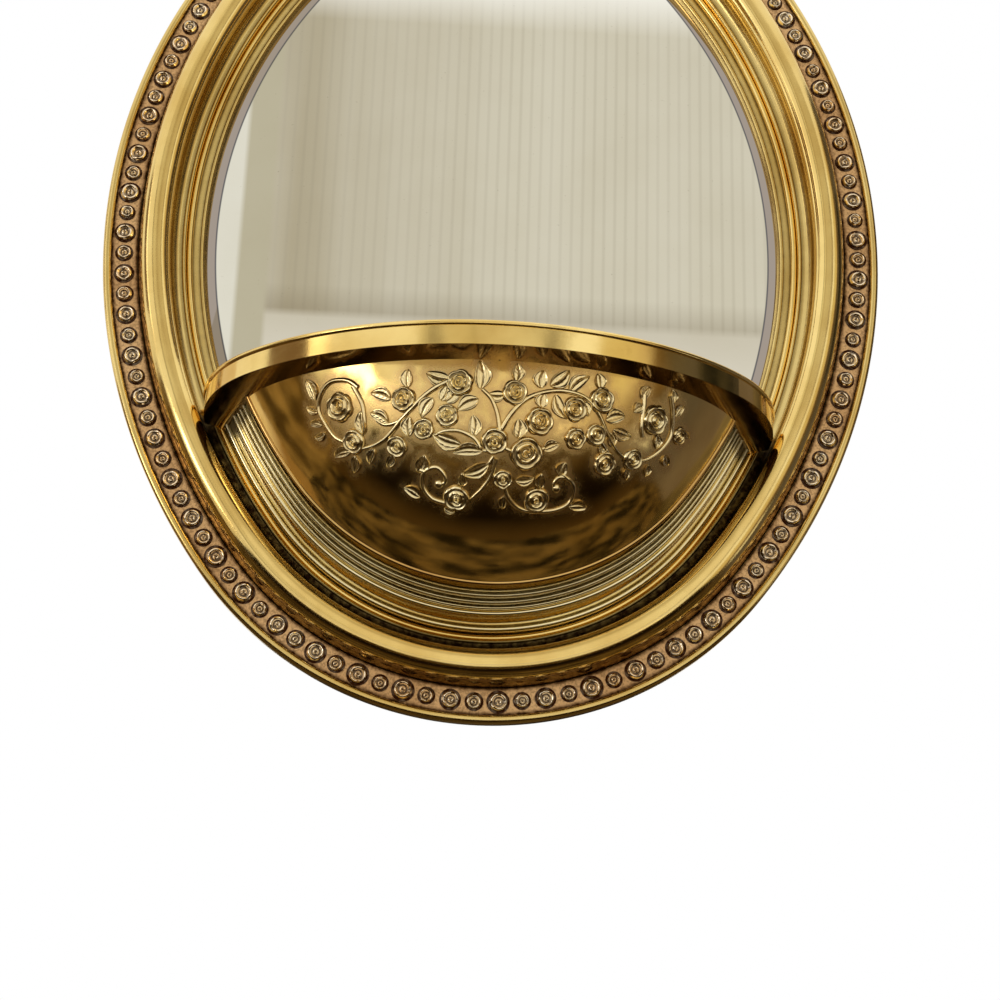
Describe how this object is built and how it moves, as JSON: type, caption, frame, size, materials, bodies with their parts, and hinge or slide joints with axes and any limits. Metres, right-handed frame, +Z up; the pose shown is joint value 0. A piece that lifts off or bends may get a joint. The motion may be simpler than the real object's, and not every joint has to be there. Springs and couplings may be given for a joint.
{
  "type": "oval wall mirror",
  "caption": "Oval wall mirror in a pressed brass moulding with a border of small roses, and a lipped half-round shelf on a half bowl with a rose vine in relief.",
  "frame": {"origin": "middle of the hanger's keyhole, on the flat back of the wooden ring", "axes": "+X to the right seen from the front, -Y out of the glass towards the viewer, +Z up"},
  "size_m": [0.28, 0.1012, 0.356],
  "materials": {
    "ring_wood": "dark stain",
    "moulding_brass": "polished",
    "border_brass": "polished roses on a matt ground",
    "slip_brass": "polished",
    "mirror_glass": "bevelled",
    "card": "plain",
    "board": "hardboard",
    "button_brass": "satin",
    "screw_steel": "satin",
    "hanger_steel": "satin",
    "pad_felt": "felt",
    "shelf_brass": "polished",
    "bead_brass": "polished",
    "skirt_brass": "polished",
    "bowl_brass": "polished, with a rose vine in relief"
  },
  "bodies": {
    "mirror": {"core_ring": "ring_wood", "frame_moulding": "moulding_brass", "rose_border": "border_brass", "inner_slip": "slip_brass", "mirror_glass": "mirror_glass", "card_sheet": "card", "backing_board": "board", "pivot_screws": "screw_steel", "hanger_plate": "hanger_steel", "hanger_screws": "screw_steel", "wall_pads": "pad_felt", "shelf_tray": "shelf_brass", "shelf_rim_bead": "bead_brass", "bracket_skirt": "skirt_brass", "bracket_lip": "bead_brass", "bracket_bowl": "bowl_brass"},
    "button_1": {"turn_button_1": "button_brass"},
    "button_2": {"turn_button_2": "button_brass"},
    "button_3": {"turn_button_3": "button_brass"},
    "button_4": {"turn_button_4": "button_brass"},
    "button_5": {"turn_button_5": "button_brass"},
    "button_6": {"turn_button_6": "button_brass"}
  },
  "joints": [
    {"name": "button_1_turn", "type": "hinge", "parent": "mirror", "child": "button_1", "pos_m": [0.06621, 0.0006, -0.29033], "axis": [0, 1, 0], "continuous": true},
    {"name": "button_2_turn", "type": "hinge", "parent": "mirror", "child": "button_2", "pos_m": [0.1188, 0.0006, -0.159], "axis": [0, 1, 0], "continuous": true},
    {"name": "button_3_turn", "type": "hinge", "parent": "mirror", "child": "button_3", "pos_m": [0.06621, 0.0006, -0.02767], "axis": [0, 1, 0], "continuous": true},
    {"name": "button_4_turn", "type": "hinge", "parent": "mirror", "child": "button_4", "pos_m": [-0.06621, 0.0006, -0.02767], "axis": [0, 1, 0], "continuous": true},
    {"name": "button_5_turn", "type": "hinge", "parent": "mirror", "child": "button_5", "pos_m": [-0.1188, 0.0006, -0.159], "axis": [0, 1, 0], "continuous": true},
    {"name": "button_6_turn", "type": "hinge", "parent": "mirror", "child": "button_6", "pos_m": [-0.06621, 0.0006, -0.29033], "axis": [0, 1, 0], "continuous": true}
  ]
}
